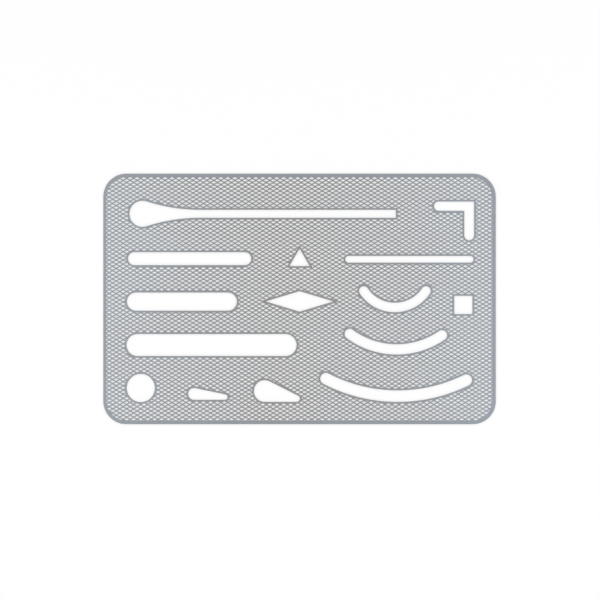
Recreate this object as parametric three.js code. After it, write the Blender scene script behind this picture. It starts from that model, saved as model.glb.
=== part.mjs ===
// Erasing shield: one thin sheet of stainless steel with fifteen openings to rub through.
// Millimetres. +X runs to the right and +Y up the face, and +Z points out of it.
// The origin is at the middle of the underside.

import * as THREE from "three";

// Sheet
const plateWidth = 94;
const plateHeight = 60;
const plateThickness = 0.15;
const plateCornerRadius = 5.5;

// Largest gap allowed between a true arc and its facets
const facetError = 0.002;

// Openings are placed from the edge that they stand nearest to, or from the middle of the sheet.
// An inset is the metal left between an edge of the sheet and the opening.

// Keyhole, top left: a round head that flares into a long slot with a square end
const keyholeHeadRadius = 3.15;
const keyholeSlotWidth = 1.95;
const keyholeFlareRadius = 41.5;
const keyholeLeftInset = 6.2;
const keyholeAxisFromTop = 9.6;
const keyholeEndToAngle = 9.1;

// Angle, top right: two arms that meet in a sharp corner, with round ends
const angleLevelArmLength = 9.65;
const angleLevelArmWidth = 2.25;
const angleUprightArmLength = 9.3;
const angleUprightArmWidth = 2.4;
const angleRightInset = 5.15;
const angleTopInset = 6.65;

// Triangle, equal sides, point up
const triangleSide = 4.9;
const triangleBaseFromTop = 22.15;

// Narrow slot, left of the triangle
const narrowSlotLength = 29.6;
const narrowSlotWidth = 3.15;
const narrowSlotLeftInset = 5.85;
const narrowSlotAxisFromTop = 20.35;

// Line slot, right of the triangle
const lineSlotLength = 30.8;
const lineSlotWidth = 1.65;
const lineSlotRightInset = 5.25;
const lineSlotAxisFromTop = 20.5;

// Diamond, at the middle of the sheet
const diamondWidth = 16.4;
const diamondHeight = 4.95;
const diamondBelowMiddle = 0.6;

// Middle slot, left of the diamond
const middleSlotLength = 26.4;
const middleSlotWidth = 4.4;
const middleSlotLeftInset = 5.6;
const middleSlotBelowMiddle = 0.65;

// Square, right of the diamond
const squareSide = 4.4;
const squareRightInset = 5.55;
const squareBelowMiddle = 1.45;

// Wide slot, under the middle slot
const wideSlotLength = 40.8;
const wideSlotWidth = 5.3;
const wideSlotLeftInset = 5.5;
const wideSlotAxisFromBottom = 18.95;

// Three arcs, one inside the next, curved like a bowl. Each has round ends. Its radius is that of its
// middle line, and its ends stand at an angle to the left and right of straight down.
const smallArcRadius = 9;
const smallArcWidth = 2.3;
const smallArcLeftEnd = 56;
const smallArcRightEnd = 56;
const smallArcCentreFromRight = 24.15;
const smallArcFootBelowMiddle = 2.05;

const middleArcRadius = 19;
const middleArcWidth = 2.5;
const middleArcLeftEnd = 36.4;
const middleArcRightEnd = 34.8;
const middleArcCentreFromRight = 23.7;
const middleArcFootFromBottom = 17.9;

const largeArcRadius = 37.3;
const largeArcWidth = 2.8;
const largeArcLeftEnd = 27.4;
const largeArcRightEnd = 26.2;
const largeArcCentreFromRight = 23.5;
const largeArcFootFromBottom = 6.7;

// Round hole, bottom left
const roundHoleRadius = 3.4;
const roundHoleLeftInset = 5.55;
const roundHoleBottomInset = 5.25;

// Two drops: a large and a small end on one straight foot
const smallDropHeadRadius = 1.43;
const smallDropTipRadius = 0.67;
const smallDropSpan = 7.4;
const smallDropHeadFromLeft = 21.7;
const smallDropFootFromBottom = 5.8;

const largeDropHeadRadius = 2.62;
const largeDropTipRadius = 0.8;
const largeDropSpan = 7.65;
const largeDropHeadBeforeMiddle = 8.35;
const largeDropFootFromBottom = 5.3;

const left = -plateWidth / 2;
const right = plateWidth / 2;
const bottom = -plateHeight / 2;
const top = plateHeight / 2;

const radians = THREE.MathUtils.degToRad;
const degrees = THREE.MathUtils.radToDeg;

const point = (x, y) => new THREE.Vector2(x, y);

// Points along an arc, both ends included, with facets that stay within the allowed error
function arc(x, y, radius, from, to) {
  const step = degrees(2 * Math.acos(1 - facetError / radius));
  const count = Math.max(1, Math.ceil(Math.abs(to - from) / step));
  return Array.from({ length: count + 1 }, (_, i) => {
    const angle = radians(from + ((to - from) * i) / count);
    return point(x + radius * Math.cos(angle), y + radius * Math.sin(angle));
  });
}

// A closed outline through the points, where two stretches that meet share one point
function closed(Outline, points) {
  const nearlySame = facetError / 100;
  const kept = points.filter((p, i) => p.distanceTo(points.at(i - 1)) > nearlySame);
  return new Outline(kept);
}

function plateOutline() {
  const r = plateCornerRadius;
  return closed(THREE.Shape, [
    ...arc(right - r, top - r, r, 0, 90),
    ...arc(left + r, top - r, r, 90, 180),
    ...arc(left + r, bottom + r, r, 180, 270),
    ...arc(right - r, bottom + r, r, 270, 360),
  ]);
}

// A level slot with half-round ends
function slot(leftEnd, axis, length, width) {
  const r = width / 2;
  return closed(THREE.Path, [
    ...arc(leftEnd + r, axis, r, 90, 270),
    ...arc(leftEnd + length - r, axis, r, -90, 90),
  ]);
}

// A slot bent to a bowl, with its foot at the lowest point of its middle line
function arcSlot(x, foot, radius, width, leftEnd, rightEnd) {
  const y = foot + radius;
  const r = width / 2;
  const from = 270 - leftEnd;
  const to = 270 + rightEnd;
  const end = (angle) => [x + radius * Math.cos(radians(angle)), y + radius * Math.sin(radians(angle))];
  return closed(THREE.Path, [
    ...arc(x, y, radius + r, from, to),
    ...arc(...end(to), r, to, to + 180),
    ...arc(x, y, radius - r, to, from),
    ...arc(...end(from), r, from + 180, from + 360),
  ]);
}

// A drop that stands on a straight foot, with its head at the left and its tip at the right
function drop(headX, foot, headRadius, tipRadius, span) {
  const fall = degrees(2 * Math.atan2(headRadius - tipRadius, span));
  return closed(THREE.Path, [
    ...arc(headX, foot + headRadius, headRadius, 90 - fall, 270),
    ...arc(headX + span, foot + tipRadius, tipRadius, -90, 90 - fall),
  ]);
}

function angleOpening() {
  const cornerX = right - angleRightInset;
  const cornerY = top - angleTopInset;
  const levelR = angleLevelArmWidth / 2;
  const uprightR = angleUprightArmWidth / 2;
  return closed(THREE.Path, [
    point(cornerX, cornerY),
    ...arc(cornerX - angleLevelArmLength + levelR, cornerY - levelR, levelR, 90, 270),
    point(cornerX - angleUprightArmWidth, cornerY - angleLevelArmWidth),
    ...arc(cornerX - uprightR, cornerY - angleUprightArmLength + uprightR, uprightR, 180, 360),
  ]);
}

// The slot ends a set distance short of the angle. Each flare touches the head and the slot's side.
function keyhole() {
  const headX = left + keyholeLeftInset + keyholeHeadRadius;
  const axis = top - keyholeAxisFromTop;
  const endX = right - angleRightInset - angleLevelArmLength - keyholeEndToAngle;
  const half = keyholeSlotWidth / 2;
  const rise = half + keyholeFlareRadius;
  const run = Math.sqrt((keyholeHeadRadius + keyholeFlareRadius) ** 2 - rise ** 2);
  const flareX = headX + run;
  const touch = degrees(Math.atan2(rise, run));
  return closed(THREE.Path, [
    ...arc(headX, axis, keyholeHeadRadius, touch, 360 - touch),
    ...arc(flareX, axis - rise, keyholeFlareRadius, 180 - touch, 90),
    point(endX, axis - half),
    point(endX, axis + half),
    ...arc(flareX, axis + rise, keyholeFlareRadius, 270, 180 + touch),
  ]);
}

function triangle() {
  const base = top - triangleBaseFromTop;
  const rise = triangleSide * Math.sin(radians(60));
  return closed(THREE.Path, [
    point(-triangleSide / 2, base),
    point(triangleSide / 2, base),
    point(0, base + rise),
  ]);
}

function diamond() {
  const y = -diamondBelowMiddle;
  return closed(THREE.Path, [
    point(-diamondWidth / 2, y),
    point(0, y - diamondHeight / 2),
    point(diamondWidth / 2, y),
    point(0, y + diamondHeight / 2),
  ]);
}

function square() {
  const outer = right - squareRightInset;
  const inner = outer - squareSide;
  const low = -squareBelowMiddle - squareSide / 2;
  return closed(THREE.Path, [
    point(inner, low),
    point(outer, low),
    point(outer, low + squareSide),
    point(inner, low + squareSide),
  ]);
}

function roundHole() {
  const r = roundHoleRadius;
  return closed(THREE.Path, arc(left + roundHoleLeftInset + r, bottom + roundHoleBottomInset + r, r, 0, 360));
}

function openings() {
  return [
    keyhole(),
    angleOpening(),
    triangle(),
    slot(left + narrowSlotLeftInset, top - narrowSlotAxisFromTop, narrowSlotLength, narrowSlotWidth),
    slot(right - lineSlotRightInset - lineSlotLength, top - lineSlotAxisFromTop, lineSlotLength, lineSlotWidth),
    diamond(),
    slot(left + middleSlotLeftInset, -middleSlotBelowMiddle, middleSlotLength, middleSlotWidth),
    square(),
    slot(left + wideSlotLeftInset, bottom + wideSlotAxisFromBottom, wideSlotLength, wideSlotWidth),
    arcSlot(
      right - smallArcCentreFromRight, -smallArcFootBelowMiddle,
      smallArcRadius, smallArcWidth, smallArcLeftEnd, smallArcRightEnd,
    ),
    arcSlot(
      right - middleArcCentreFromRight, bottom + middleArcFootFromBottom,
      middleArcRadius, middleArcWidth, middleArcLeftEnd, middleArcRightEnd,
    ),
    arcSlot(
      right - largeArcCentreFromRight, bottom + largeArcFootFromBottom,
      largeArcRadius, largeArcWidth, largeArcLeftEnd, largeArcRightEnd,
    ),
    roundHole(),
    drop(
      left + smallDropHeadFromLeft, bottom + smallDropFootFromBottom,
      smallDropHeadRadius, smallDropTipRadius, smallDropSpan,
    ),
    drop(
      -largeDropHeadBeforeMiddle, bottom + largeDropFootFromBottom,
      largeDropHeadRadius, largeDropTipRadius, largeDropSpan,
    ),
  ];
}

function shieldPlate() {
  const outline = plateOutline();
  outline.holes = openings();
  const sheet = new THREE.ExtrudeGeometry(outline, { depth: plateThickness, bevelEnabled: false });
  const steel = new THREE.MeshStandardMaterial({ color: 0x8d9195, metalness: 1, roughness: 0.35 });
  const mesh = new THREE.Mesh(sheet, steel);
  mesh.name = "shield_plate";
  return mesh;
}

const erasingShield = new THREE.Group();
erasingShield.add(shieldPlate());

export default erasingShield;
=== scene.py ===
"""Erasing shield: one thin sheet of satin stainless steel, etched through with a field of fine holes,
and with larger openings to rub through. The outline and the openings are those of the frame's plate."""

import math

import bpy
import numpy as np
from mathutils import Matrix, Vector
from mathutils.geometry import delaunay_2d_cdt

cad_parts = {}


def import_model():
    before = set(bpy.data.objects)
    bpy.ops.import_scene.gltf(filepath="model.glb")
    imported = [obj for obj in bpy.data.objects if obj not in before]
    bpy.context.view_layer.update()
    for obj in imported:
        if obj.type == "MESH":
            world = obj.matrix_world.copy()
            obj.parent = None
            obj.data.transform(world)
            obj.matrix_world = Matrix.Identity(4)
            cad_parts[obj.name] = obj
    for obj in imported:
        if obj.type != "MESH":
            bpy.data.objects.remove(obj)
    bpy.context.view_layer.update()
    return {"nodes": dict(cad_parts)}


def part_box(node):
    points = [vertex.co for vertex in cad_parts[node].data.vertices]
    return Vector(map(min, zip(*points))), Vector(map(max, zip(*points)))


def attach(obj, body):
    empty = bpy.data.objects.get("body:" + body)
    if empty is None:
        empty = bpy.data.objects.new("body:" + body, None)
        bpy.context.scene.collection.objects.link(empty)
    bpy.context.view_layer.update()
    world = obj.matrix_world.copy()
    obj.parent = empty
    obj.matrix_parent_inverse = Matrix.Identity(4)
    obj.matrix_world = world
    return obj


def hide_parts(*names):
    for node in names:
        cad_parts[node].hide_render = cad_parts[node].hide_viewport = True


MM = 0.001

# Fine holes: flattened hexagons whose upper and lower sides are level. They stand in columns, with every
# second column half a pitch lower.
HOLE_WIDTH = 1.23 * MM
HOLE_HEIGHT = 0.54 * MM
HOLE_FLAT = 0.4 * MM
HOLE_PITCH = 1.0044 * MM
COLUMN_PITCH = 0.8367 * MM
FIRST_COLUMN_FROM_LEFT = 0.546 * MM
FIRST_HOLE_FROM_TOP = 0.596 * MM

# Plain metal round the field of holes, and round each opening
BORDER_LEFT = 0.58 * MM
BORDER_RIGHT = 0.76 * MM
BORDER_BOTTOM = 0.76 * MM
BORDER_TOP = 0.8 * MM
FIELD_CORNER_RADIUS = 5.0 * MM
RIM = 0.4 * MM

# A hole that a rim cuts is left out if less than this share of it remains. Where two of its corners stand
# closer than the gap, one is dropped.
LEAST_HOLE_SHARE = 0.22
LEAST_CORNER_GAP = 0.03 * MM

# Broken edge of the outline and of each opening, and the angle between faces from which an edge looks sharp
EDGE_BREAK = 0.03 * MM
SHARP_ANGLE = math.radians(30)

# Corners of the plate's mesh that round to the same place, at so many places to the metre, are one corner
CORNER_PLACES = 1e7

# What Blender's triangulation is told: to keep the triangles inside the outline, and to merge points that
# stand closer than this, in millimetres
ONLY_INSIDE = 1
MERGE_GAP = 1e-6

# Steel: a neutral tone, and the lighter, bluest tone, which the painted cool sheen and the clouds lead to.
# The grain and the clouds are given in noise cells to the metre, along each axis.
NEUTRAL_TONE = (0.262, 0.262, 0.263, 1)
BLUE_TONE = (0.271, 0.299, 0.336, 1)
GRAIN_CELLS = (150, 9000, 9000)
CLOUD_CELLS = (28, 40, 40)
GRAIN_SHADE = (0.90, 1.10)
ROUGHNESS = (0.28, 0.46)
GRAIN_HEIGHT = 0.01 * MM
GRAIN_STRENGTH = 0.35

# Painted cool sheen: how much lighter and bluer the steel is painted, as a cool reflection. Towards the ends
# that goes from 0 to 1, between two shares of the sheet's length from its most neutral place, which itself
# lies a share of the length from the middle. At the long borders it goes from 0 to less than 1, between two
# shares of the height from the middle. The clouds, a random tone, add to it, and the tone turns from neutral
# to blue over the last range.
NEUTRAL_PLACE = -0.03
SHEEN_ALONG = (0.04, 0.5)
SHEEN_UP = (0.475, 0.49)
LONG_BORDER_SHEEN = 0.8
CLOUD_BLUENESS = 0.9
BLUE_TONE_RANGE = (0.3, 1.5)

# Camera, with its lens and sensor in millimetres, as Blender has them
PHOTO_WIDTH_PX = 600
PHOTO_SCALE = 0.2396 * MM
CAMERA_LENS = 100.0
CAMERA_SENSOR = 36.0
CAMERA_RIGHT_OF_MIDDLE = 0.108 * MM
CAMERA_BELOW_MIDDLE = 0.259 * MM

# Floor, sky and lamps, in metres and watts. The floor shows the eye a share of plain white beside its own lit
# colour. The lamps' places are counted from the middle of the sheet.
FLOOR_GAP = 0.06 * MM
FLOOR_SIZE = 3.0
FLOOR_COLOUR = (0.97, 0.97, 0.97, 1)
FLOOR_WHITE_SHARE = 0.11
SKY_COLOUR = (0.84, 0.84, 0.84, 1)
WHITE = (1, 1, 1, 1)
LAMP_PLACES = {"left": (-0.32, -0.05, 0.42), "right": (0.32, -0.05, 0.42)}
LAMP_SIZE = 0.4
LAMP_WATTS = 0.4

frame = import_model()
PLATE = "shield_plate"
LOW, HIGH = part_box(PLATE)
MIDDLE = (LOW + HIGH) / 2
SIZE = HIGH - LOW
TOP_Z = HIGH.z
BOTTOM_Z = LOW.z


def outlines(node):
    """The plate's outline and then its openings, as loops round the top face with the metal on their left"""
    mesh = node.data
    steps = {}
    for face in mesh.polygons:
        if face.normal.z > 0.5:
            corners = [tuple(round(c * CORNER_PLACES) for c in mesh.vertices[v].co.xy) for v in face.vertices]
            steps.update(((a, b), None) for a, b in zip(corners, corners[1:] + corners[:1]))
    following = {a: b for a, b in steps if (b, a) not in steps}
    loops = []
    while following:
        loop = [next(iter(following))]
        while loop[-1] in following:
            loop.append(following.pop(loop[-1]))
        loops.append(np.array(loop[:-1]) / CORNER_PLACES)
    return sorted(loops, key=lambda loop: -np.ptp(loop[:, 0]))


def distance_outside(points, loop):
    """How far each point lies from an opening's sides, below zero for a point inside it. Beyond a corner it
    is the distance from the sides' lines, so that a rim keeps the corner as sharp as the opening has it."""
    along = np.roll(loop, -1, axis=0) - loop
    outward = np.stack([-along[:, 1], along[:, 0]], axis=1) / np.linalg.norm(along, axis=1)[:, None]
    away = points[:, None] - loop[None]
    share = np.clip((away * along).sum(-1) / (along ** 2).sum(-1), 0, 1)
    distance = np.linalg.norm(away - share[..., None] * along, axis=-1)
    past_line = (away * outward).sum(-1)
    rows = np.arange(len(points))
    nearest = distance.argmin(axis=1)
    neighbour = (nearest + np.sign(share[rows, nearest] - 0.5).astype(int)) % len(loop)
    at_corner = np.isin(share[rows, nearest], (0, 1))
    beyond_corner = np.maximum(past_line[rows, nearest], past_line[rows, neighbour])
    found = np.where(at_corner, beyond_corner, distance.min(axis=1))
    crosses = (away[..., 1] >= 0) != (away[..., 1] >= along[:, 1])
    rise = np.where(along[:, 1] == 0, 1, along[:, 1])
    left_of = away[..., 0] < along[:, 0] * away[..., 1] / rise
    inside = (crosses & left_of).sum(axis=1) % 2 == 1
    return np.where(inside, -np.abs(found), found)


def room(points, openings):
    """How far each point lies inside the field of holes, below zero in plain metal or in an opening"""
    low = np.array([LOW.x + BORDER_LEFT, LOW.y + BORDER_BOTTOM])
    high = np.array([HIGH.x - BORDER_RIGHT, HIGH.y - BORDER_TOP])
    past = np.abs(points - (low + high) / 2) - (high - low) / 2 + FIELD_CORNER_RADIUS
    outside = np.linalg.norm(np.maximum(past, 0), axis=1) + np.minimum(past.max(axis=1), 0)
    found = FIELD_CORNER_RADIUS - outside
    for loop in openings:
        reach = RIM + HOLE_WIDTH
        near = ((points > loop.min(0) - reach) & (points < loop.max(0) + reach)).all(axis=1)
        if near.any():
            found[near] = np.minimum(found[near], distance_outside(points[near], loop) - RIM)
    return found


def area(corners):
    """The area of a polygon whose corners run anticlockwise"""
    x, y = corners.T
    return float(x @ np.roll(y, -1) - y @ np.roll(x, -1)) / 2


def cut_by_rim(corners, depths, openings):
    """The part of a hole that lies in the field, with a point more on its cut side, which follows the rim"""
    kept = []
    leaves_at = None
    for k, (here, depth) in enumerate(zip(corners, depths)):
        after, depth_after = corners[(k + 1) % len(corners)], depths[(k + 1) % len(corners)]
        if depth >= 0:
            kept.append(here)
        if (depth >= 0) != (depth_after >= 0):
            kept.append(here + (after - here) * depth / (depth - depth_after))
            if depth >= 0:
                leaves_at = len(kept) - 1
    leaves, enters = kept[leaves_at], kept[(leaves_at + 1) % len(kept)]
    chord = enters - leaves
    inward = np.array([-chord[1], chord[0]]) / max(np.linalg.norm(chord), LEAST_CORNER_GAP)
    bow = (leaves + enters) / 2
    kept.insert(leaves_at + 1, bow - inward * room(bow[None], openings)[0])
    gaps = [np.linalg.norm(c - kept[k - 1]) for k, c in enumerate(kept)]
    return np.array([c for c, gap in zip(kept, gaps) if gap > LEAST_CORNER_GAP])


def fine_holes(openings):
    """The corners of every fine hole, clockwise, so that the metal is on their left"""
    half_width, half_height, half_flat = HOLE_WIDTH / 2, HOLE_HEIGHT / 2, HOLE_FLAT / 2
    hexagon = np.array([
        (half_width, 0), (half_flat, half_height), (-half_flat, half_height),
        (-half_width, 0), (-half_flat, -half_height), (half_flat, -half_height),
    ])
    columns = math.ceil(SIZE.x / COLUMN_PITCH)
    rows = math.ceil(SIZE.y / HOLE_PITCH) + 1
    centres = np.array([
        (
            LOW.x + FIRST_COLUMN_FROM_LEFT + column * COLUMN_PITCH,
            HIGH.y - FIRST_HOLE_FROM_TOP - (row + (column % 2) / 2) * HOLE_PITCH,
        )
        for column in range(columns)
        for row in range(rows)
    ])
    corners = centres[:, None] + hexagon
    depths = room(corners.reshape(-1, 2), openings).reshape(len(centres), -1)
    holes = []
    for hole, depth in zip(corners, depths):
        if depth.max() <= 0:
            continue
        if depth.min() < 0:
            hole = cut_by_rim(hole, depth, openings)
        if len(hole) > 2 and area(hole) > LEAST_HOLE_SHARE * area(hexagon):
            holes.append(hole[::-1])
    return holes


def moved_into_metal(loop, distance):
    """A loop set back into the metal on its left"""
    along = np.roll(loop, -1, axis=0) - loop
    along /= np.linalg.norm(along, axis=1)[:, None]
    left = np.stack([-along[:, 1], along[:, 0]], axis=1)
    before = np.roll(left, 1, axis=0)
    return loop + distance * (left + before) / (1 + (left * before).sum(axis=1))[:, None]


def cap_triangles(outer, inner):
    """The triangles of the metal between an outline and the loops inside it, as rows of corner numbers"""
    rings = [outer] + inner
    starts = np.cumsum([0] + [len(ring) for ring in rings])
    faces = [list(range(a, b)) for a, b in zip(starts, starts[1:])]
    corners = [Vector(c) for c in np.concatenate(rings) / MM]
    anticlockwise = [faces[0]] + [face[::-1] for face in faces[1:]]
    _, _, triangles, corner_of, _, rings_of = delaunay_2d_cdt(
        corners, [], anticlockwise, ONLY_INSIDE, MERGE_GAP, True,
    )
    only_metal = [t for t, found in zip(triangles, rings_of) if found == [0]]
    return np.array([[corner_of[v][0] for v in t] for t in only_metal])


class Sheet:
    """Corners, faces and the map of a mesh that is put together ring by ring"""

    # The map holds the top face in its upper half and the lower face in its lower half, and all walls
    # share a column beside them.
    MAP_SPAN = 125 * MM
    MAP_EDGE = 0.01
    WALL_LEFT, WALL_RIGHT = 0.80, 0.98
    WALL_LOW, WALL_HIGH = 0.02, 0.12

    def __init__(self):
        self.corners, self.faces, self.map = [], [], []
        self.count = 0

    def ring(self, loop, z):
        """Adds a loop at a height, and returns its corner numbers"""
        self.corners.append(np.column_stack([loop, np.full(len(loop), z)]))
        self.count += len(loop)
        return np.arange(self.count - len(loop), self.count)

    def place(self, xy, on_top):
        """Where a point of the top or the lower face lies on the map"""
        return (np.asarray(xy) - (LOW.x, LOW.y)) / self.MAP_SPAN + (self.MAP_EDGE, self.MAP_EDGE + on_top / 2)

    def wall(self, lower, upper):
        """Joins two rings by upright faces"""
        after = np.roll(np.arange(len(lower)), -1)
        self.faces += np.column_stack([lower, lower[after], upper[after], upper]).tolist()
        edge = np.linspace(self.WALL_LEFT, self.WALL_RIGHT, len(lower) + 1)
        for a, b in zip(edge, edge[1:]):
            self.map += [(a, self.WALL_LOW), (b, self.WALL_LOW), (b, self.WALL_HIGH), (a, self.WALL_HIGH)]

    def slope(self, lower, lower_loop, upper, upper_loop, on_top):
        """Joins two rings by the faces of a broken edge"""
        after = np.roll(np.arange(len(lower)), -1)
        self.faces += np.column_stack([lower, lower[after], upper[after], upper]).tolist()
        low, high = self.place(lower_loop, on_top), self.place(upper_loop, on_top)
        self.map += np.stack([low, low[after], high[after], high], axis=1).reshape(-1, 2).tolist()

    def cap(self, triangles, rings, loops, on_top):
        """Fills the metal between rings"""
        numbers, spots = np.concatenate(rings), self.place(np.concatenate(loops), on_top)
        turned = triangles if on_top else triangles[:, ::-1]
        self.faces += numbers[turned].tolist()
        self.map += spots[turned].reshape(-1, 2).tolist()

    def mesh(self, name):
        """The finished mesh, with its map"""
        mesh = bpy.data.meshes.new(name)
        mesh.from_pydata(np.concatenate(self.corners).tolist(), [], self.faces)
        uv = mesh.uv_layers.new(name="OFBake")
        uv.data.foreach_set("uv", np.array(self.map, np.float32).ravel())
        mesh.polygons.foreach_set("use_smooth", [True] * len(mesh.polygons))
        mesh.set_sharp_from_angle(angle=SHARP_ANGLE)
        return mesh


def pierced_sheet():
    """The whole sheet: broken edges round the outline and the openings, and plain walls in the fine holes"""
    loops = outlines(frame["nodes"][PLATE])
    holes = fine_holes(loops[1:])
    set_back = [moved_into_metal(loop, EDGE_BREAK) for loop in loops]
    sheet = Sheet()
    top_rings, bottom_rings = [], []
    for loop, inner in zip(loops, set_back):
        bottom = sheet.ring(inner, BOTTOM_Z)
        side_low = sheet.ring(loop, BOTTOM_Z + EDGE_BREAK)
        side_high = sheet.ring(loop, TOP_Z - EDGE_BREAK)
        top = sheet.ring(inner, TOP_Z)
        sheet.slope(bottom, inner, side_low, loop, on_top=False)
        sheet.wall(side_low, side_high)
        sheet.slope(side_high, loop, top, inner, on_top=True)
        top_rings.append(top)
        bottom_rings.append(bottom)
    for hole in holes:
        bottom, top = sheet.ring(hole, BOTTOM_Z), sheet.ring(hole, TOP_Z)
        sheet.wall(bottom, top)
        top_rings.append(top)
        bottom_rings.append(bottom)
    cap_loops = set_back + holes
    triangles = cap_triangles(cap_loops[0], cap_loops[1:])
    sheet.cap(triangles, top_rings, cap_loops, on_top=True)
    sheet.cap(triangles, bottom_rings, cap_loops, on_top=False)
    piece = bpy.data.objects.new("pierced_sheet", sheet.mesh("pierced_sheet"))
    bpy.context.scene.collection.objects.link(piece)
    print("fine holes", len(holes), "faces", len(piece.data.polygons))
    return piece


def node_in(tree, kind, **settings):
    """A new node, with its properties and the values of its inputs"""
    node = tree.nodes.new(kind)
    for name, value in settings.items():
        if hasattr(node, name):
            setattr(node, name, value)
        else:
            node.inputs[name.replace("_", " ").title()].default_value = value
    return node


def worked_out(tree, operation, *values):
    """The result of a sum on sockets and numbers"""
    node = node_in(tree, "ShaderNodeMath", operation=operation)
    for socket, value in zip(node.inputs, values):
        if isinstance(value, bpy.types.NodeSocket):
            tree.links.new(value, socket)
        else:
            socket.default_value = value
    return node.outputs[0]


def ranged(tree, value, old_range, new_range):
    """A value carried from one range to another, and held inside it"""
    node = node_in(
        tree, "ShaderNodeMapRange",
        from_min=old_range[0], from_max=old_range[1], to_min=new_range[0], to_max=new_range[1],
    )
    tree.links.new(value, node.inputs["Value"])
    return node.outputs["Result"]


def noise(tree, place, cells, detail, roughness):
    """Noise with so many cells to the metre along each axis"""
    scaled = node_in(tree, "ShaderNodeMapping", Scale=cells)
    tree.links.new(place, scaled.inputs["Vector"])
    node = node_in(tree, "ShaderNodeTexNoise", Scale=1.0, Detail=detail, Roughness=roughness)
    tree.links.new(scaled.outputs["Vector"], node.inputs["Vector"])
    return node.outputs["Fac"]


def painted_sheen_and_clouds(tree, place, clouds):
    """How blue and light the steel is at a place: a painted cool sheen towards its ends and at its long
    borders, and a random tone in its clouds
    """
    split = node_in(tree, "ShaderNodeSeparateXYZ")
    tree.links.new(place, split.inputs["Vector"])
    neutral_x = MIDDLE.x + NEUTRAL_PLACE * SIZE.x
    along = worked_out(tree, "ABSOLUTE", worked_out(tree, "SUBTRACT", split.outputs["X"], neutral_x))
    up = worked_out(tree, "ABSOLUTE", worked_out(tree, "SUBTRACT", split.outputs["Y"], MIDDLE.y))
    ends = ranged(tree, along, [share * SIZE.x for share in SHEEN_ALONG], (0, 1))
    long_borders = ranged(tree, up, [share * SIZE.y for share in SHEEN_UP], (0, LONG_BORDER_SHEEN))
    # Painted cool sheen: lighter and bluer towards the ends and the long borders
    painted_sheen = worked_out(tree, "MAXIMUM", ends, long_borders)
    return worked_out(tree, "MULTIPLY_ADD", clouds, CLOUD_BLUENESS, painted_sheen)


def satin_steel():
    """Cool grey steel, with a fine rolling grain along X, cloudy patches, and a painted cool sheen that turns
    it lighter and bluer towards its ends and long borders
    """
    material = bpy.data.materials.new("satin_steel")
    material.use_nodes = True
    tree = material.node_tree
    link = tree.links.new
    shader = tree.nodes["Principled BSDF"]
    shader.inputs["Metallic"].default_value = 1.0

    place = node_in(tree, "ShaderNodeTexCoord").outputs["Object"]
    grain = noise(tree, place, GRAIN_CELLS, detail=4.0, roughness=0.65)
    clouds = noise(tree, place, CLOUD_CELLS, detail=3.0, roughness=0.5)
    # The painted cool sheen and the random clouds pick the tone between neutral and blue
    sheen_and_cloud_share = ranged(tree, painted_sheen_and_clouds(tree, place, clouds), BLUE_TONE_RANGE, (0, 1))

    tone = node_in(tree, "ShaderNodeMix", data_type="RGBA")
    tone.inputs["A"].default_value = NEUTRAL_TONE
    tone.inputs["B"].default_value = BLUE_TONE
    link(sheen_and_cloud_share, tone.inputs["Factor"])
    shaded = node_in(tree, "ShaderNodeMix", data_type="RGBA", blend_type="MULTIPLY")
    shaded.inputs["Factor"].default_value = 1.0
    link(tone.outputs["Result"], shaded.inputs["A"])
    link(ranged(tree, grain, (0, 1), GRAIN_SHADE), shaded.inputs["B"])
    link(shaded.outputs["Result"], shader.inputs["Base Color"])
    link(ranged(tree, grain, (0, 1), ROUGHNESS), shader.inputs["Roughness"])

    bump = node_in(tree, "ShaderNodeBump", Strength=GRAIN_STRENGTH, Distance=GRAIN_HEIGHT)
    link(grain, bump.inputs["Height"])
    link(bump.outputs["Normal"], shader.inputs["Normal"])
    return material


def white_to_the_eye(tree):
    """1 for a ray that the camera, a mirror or glass sends out, and 0 for one that lights the object"""
    ray = node_in(tree, "ShaderNodeLightPath").outputs
    camera_or_mirror = worked_out(tree, "MAXIMUM", ray["Is Camera Ray"], ray["Is Glossy Ray"])
    return worked_out(tree, "MAXIMUM", camera_or_mirror, ray["Is Transmission Ray"])


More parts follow.
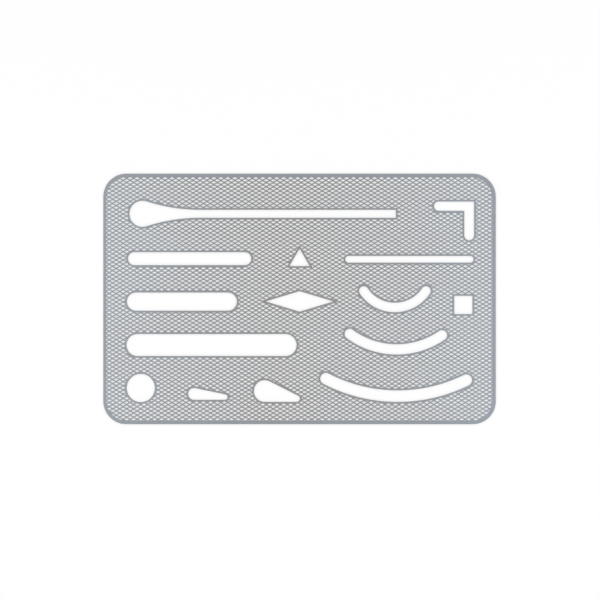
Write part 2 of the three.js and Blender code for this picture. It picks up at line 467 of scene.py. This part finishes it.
def floor():
    """A white floor that keeps the shield's shadow"""
    bpy.ops.mesh.primitive_plane_add(size=FLOOR_SIZE, location=(MIDDLE.x, MIDDLE.y, BOTTOM_Z - FLOOR_GAP))
    piece = bpy.context.object
    piece.name = "floor"
    material = bpy.data.materials.new("white_floor")
    material.use_nodes = True
    tree = material.node_tree
    tree.nodes.remove(tree.nodes["Principled BSDF"])
    matt = node_in(tree, "ShaderNodeBsdfDiffuse", Color=FLOOR_COLOUR)
    white = node_in(tree, "ShaderNodeEmission", Color=WHITE, Strength=1.0)
    mix = node_in(tree, "ShaderNodeMixShader")
    share = worked_out(tree, "MULTIPLY", white_to_the_eye(tree), FLOOR_WHITE_SHARE)
    tree.links.new(share, mix.inputs["Fac"])
    tree.links.new(matt.outputs[0], mix.inputs[1])
    tree.links.new(white.outputs[0], mix.inputs[2])
    tree.links.new(mix.outputs[0], tree.nodes["Material Output"].inputs["Surface"])
    piece.data.materials.append(material)


def world():
    """A plain sky that lights the shield evenly, and looks white"""
    sky = bpy.data.worlds.new("sky")
    bpy.context.scene.world = sky
    sky.use_nodes = True
    tree = sky.node_tree
    plain = tree.nodes["Background"]
    plain.inputs["Color"].default_value = SKY_COLOUR
    white = node_in(tree, "ShaderNodeBackground", Color=WHITE)
    mix = node_in(tree, "ShaderNodeMixShader")
    tree.links.new(white_to_the_eye(tree), mix.inputs["Fac"])
    tree.links.new(plain.outputs[0], mix.inputs[1])
    tree.links.new(white.outputs[0], mix.inputs[2])
    tree.links.new(mix.outputs[0], tree.nodes["World Output"].inputs["Surface"])


def softbox(name, place):
    """A square lamp that faces the middle of the shield"""
    data = bpy.data.lights.new(name, "AREA")
    data.energy = LAMP_WATTS
    data.size = LAMP_SIZE
    lamp = bpy.data.objects.new(name, data)
    lamp.location = MIDDLE + Vector(place)
    lamp.rotation_euler = Vector(place).to_track_quat("Z", "Y").to_euler()
    bpy.context.scene.collection.objects.link(lamp)


def camera():
    """Straight above the shield, with the photograph's frame"""
    data = bpy.data.cameras.new("camera")
    data.lens = CAMERA_LENS
    data.sensor_width = CAMERA_SENSOR
    eye = bpy.data.objects.new("camera", data)
    seen_width = PHOTO_WIDTH_PX * PHOTO_SCALE
    height = seen_width * CAMERA_LENS / CAMERA_SENSOR
    eye.location = (MIDDLE.x + CAMERA_RIGHT_OF_MIDDLE, MIDDLE.y - CAMERA_BELOW_MIDDLE, TOP_Z + height)
    bpy.context.scene.collection.objects.link(eye)
    bpy.context.scene.camera = eye


sheet = pierced_sheet()
sheet.data.materials.append(satin_steel())
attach(sheet, "root")
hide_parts(PLATE)

floor()
world()
for lamp_name, lamp_place in LAMP_PLACES.items():
    softbox(lamp_name, lamp_place)
camera()
bpy.context.scene.view_settings.view_transform = "Standard"
